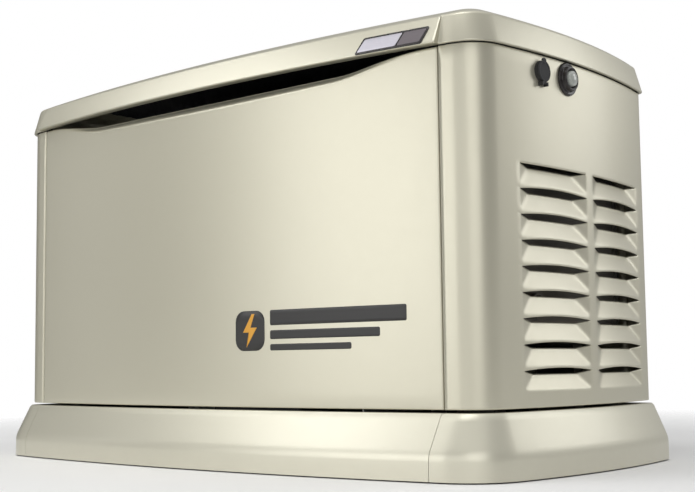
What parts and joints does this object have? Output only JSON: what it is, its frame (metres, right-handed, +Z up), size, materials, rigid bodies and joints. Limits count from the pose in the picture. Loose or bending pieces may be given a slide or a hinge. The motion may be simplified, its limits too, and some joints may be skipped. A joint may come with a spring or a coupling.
{
  "type": "home standby generator",
  "caption": "Air-cooled home standby generator in a bowed steel cabinet with hinged lid, lift-off front panel, louvered ends, flared base, V-twin engine, alternator and controls.",
  "frame": {"origin": "middle of the base's underside, on the pad it stands on", "axes": "+X along the length towards the end with the shutdown switch, -Y to the front service panel, +Z up"},
  "size_m": [1.218, 0.6379, 0.732],
  "materials": {
    "cabinet_paint": "satin powder coat, light khaki beige, fine orange peel",
    "base_paint": "satin powder coat, light khaki beige",
    "lid_paint": "satin powder coat, light khaki beige",
    "tray_paint": "satin black",
    "zinc_steel": "zinc plated",
    "black_plastic": "fine texture",
    "gloss_black": "gloss",
    "black_rubber": "matt",
    "switch_lens": "smoky translucent",
    "badge_plate": "satin with a dark half",
    "foam": "open-cell acoustic foam",
    "cast_aluminium": "sand cast",
    "engine_black": "satin black",
    "cast_iron": "rough cast",
    "aluminised_steel": "dull, heat tinted",
    "filter_paper": "pleated",
    "can_paint": "gloss white",
    "lock_steel": "polished",
    "cable_jacket": "red and black jacket",
    "button_green": "gloss",
    "button_red": "gloss",
    "button_blue": "gloss",
    "dip_yellow": "moulded",
    "battery_case": "moulded"
  },
  "bodies": {
    "root": {"base_tray": "tray_paint", "front_fascia": "base_paint", "rear_fascia": "base_paint", "left_fascia": "base_paint", "right_fascia": "base_paint", "right_end_panel": "cabinet_paint", "left_end_panel": "cabinet_paint", "rear_panel": "cabinet_paint", "muffler_divider": "zinc_steel", "panel_screws": "zinc_steel", "hinge_brackets": "zinc_steel", "lid_seal": "black_rubber", "lock_housings": "black_plastic", "shutdown_bezel": "gloss_black", "stay_bracket": "zinc_steel", "engine_cradle": "engine_black", "rubber_mounts": "black_rubber", "crankcase": "cast_aluminium", "cylinder_front": "cast_aluminium", "cylinder_rear": "cast_aluminium", "valve_covers": "engine_black", "spark_plugs": "black_rubber", "intake_manifold": "cast_aluminium", "airbox": "black_plastic", "air_filter": "filter_paper", "airbox_cover": "black_plastic", "oil_filter": "can_paint", "starter_motor": "engine_black", "blower_housing": "engine_black", "alternator_housing": "engine_black", "alternator_end_bell": "cast_aluminium", "exhaust_pipes": "aluminised_steel", "muffler": "aluminised_steel", "fuel_regulator": "cast_aluminium", "fuel_inlet_pipe": "zinc_steel", "control_box": "cabinet_paint", "control_face": "black_plastic", "circuit_breaker": "black_plastic", "battery": "battery_case", "battery_cables": "cable_jacket"},
    "lid": {"lid": "lid_paint", "lid_liner": "foam", "lid_badge": "badge_plate", "lid_hinge_leaves": "zinc_steel", "lock_keepers": "zinc_steel"},
    "front_cover": {"front_panel": "cabinet_paint", "front_panel_liner": "foam"},
    "stay": {"lid_stay": "zinc_steel"},
    "right_core": {"right_lock_core": "lock_steel"},
    "left_core": {"left_lock_core": "lock_steel"},
    "right_flap": {"right_lock_cover": "black_rubber"},
    "left_flap": {"left_lock_cover": "black_rubber"},
    "shutdown": {"shutdown_button": "switch_lens"},
    "rotor": {"crankshaft": "cast_iron", "flywheel_fan": "cast_iron"},
    "auto_key": {"auto_button": "button_green"},
    "off_key": {"off_button": "button_red"},
    "manual_key": {"manual_button": "button_blue"},
    "breaker_arm": {"breaker_lever": "gloss_black"},
    "oil_stick": {"dipstick": "dip_yellow"}
  },
  "joints": [
    {"name": "lid_hinge", "type": "hinge", "parent": "root", "child": "lid", "pos_m": [0, 0.298, 0.643], "axis": [-1, 0, 0], "range_deg": [0, 80]},
    {"name": "stay_swing", "type": "hinge", "parent": "root", "child": "stay", "pos_m": [-0.518, 0.11, 0.656], "axis": [-1, 0, 0], "range_deg": [0, 120]},
    {"name": "front_panel_pull", "type": "slide", "parent": "root", "child": "front_cover", "axis": [0, -1, 0], "range_m": [0, 0.3]},
    {"name": "right_lock_turn", "type": "hinge", "parent": "root", "child": "right_core", "pos_m": [0.56, -0.088, 0.622], "axis": [-1, 0, 0], "range_deg": [0, 90]},
    {"name": "left_lock_turn", "type": "hinge", "parent": "root", "child": "left_core", "pos_m": [-0.56, -0.088, 0.622], "axis": [-1, 0, 0], "range_deg": [0, 90]},
    {"name": "right_lock_flap", "type": "hinge", "parent": "root", "child": "right_flap", "pos_m": [0.583, -0.088, 0.602], "axis": [0, 1, 0], "range_deg": [0, 110]},
    {"name": "left_lock_flap", "type": "hinge", "parent": "root", "child": "left_flap", "pos_m": [-0.583, -0.088, 0.602], "axis": [0, -1, 0], "range_deg": [0, 110]},
    {"name": "shutdown_press", "type": "slide", "parent": "root", "child": "shutdown", "axis": [-1, 0, 0], "range_m": [0, 0.004], "stiffness_N_per_m": 300, "springref_m": -0.002},
    {"name": "crank_spin", "type": "hinge", "parent": "root", "child": "rotor", "pos_m": [0, 0.035, 0.28], "axis": [1, 0, 0], "continuous": true},
    {"name": "auto_press", "type": "slide", "parent": "root", "child": "auto_key", "axis": [0, 0.342, -0.9397], "range_m": [0, 0.0012], "stiffness_N_per_m": 500, "springref_m": -0.001},
    {"name": "off_press", "type": "slide", "parent": "root", "child": "off_key", "axis": [0, 0.342, -0.9397], "range_m": [0, 0.0012], "stiffness_N_per_m": 500, "springref_m": -0.001},
    {"name": "manual_press", "type": "slide", "parent": "root", "child": "manual_key", "axis": [0, 0.342, -0.9397], "range_m": [0, 0.0012], "stiffness_N_per_m": 500, "springref_m": -0.001},
    {"name": "breaker_throw", "type": "hinge", "parent": "root", "child": "breaker_arm", "pos_m": [0.262, -0.201, 0.385], "axis": [1, 0, 0], "range_deg": [0, 40]},
    {"name": "dipstick_pull", "type": "slide", "parent": "root", "child": "oil_stick", "axis": [0, 0, 1], "range_m": [0, 0.2]}
  ],
  "couplings": [
    {"joint": "stay_swing", "follows": "lid_hinge", "ratio": 1.5}
  ]
}
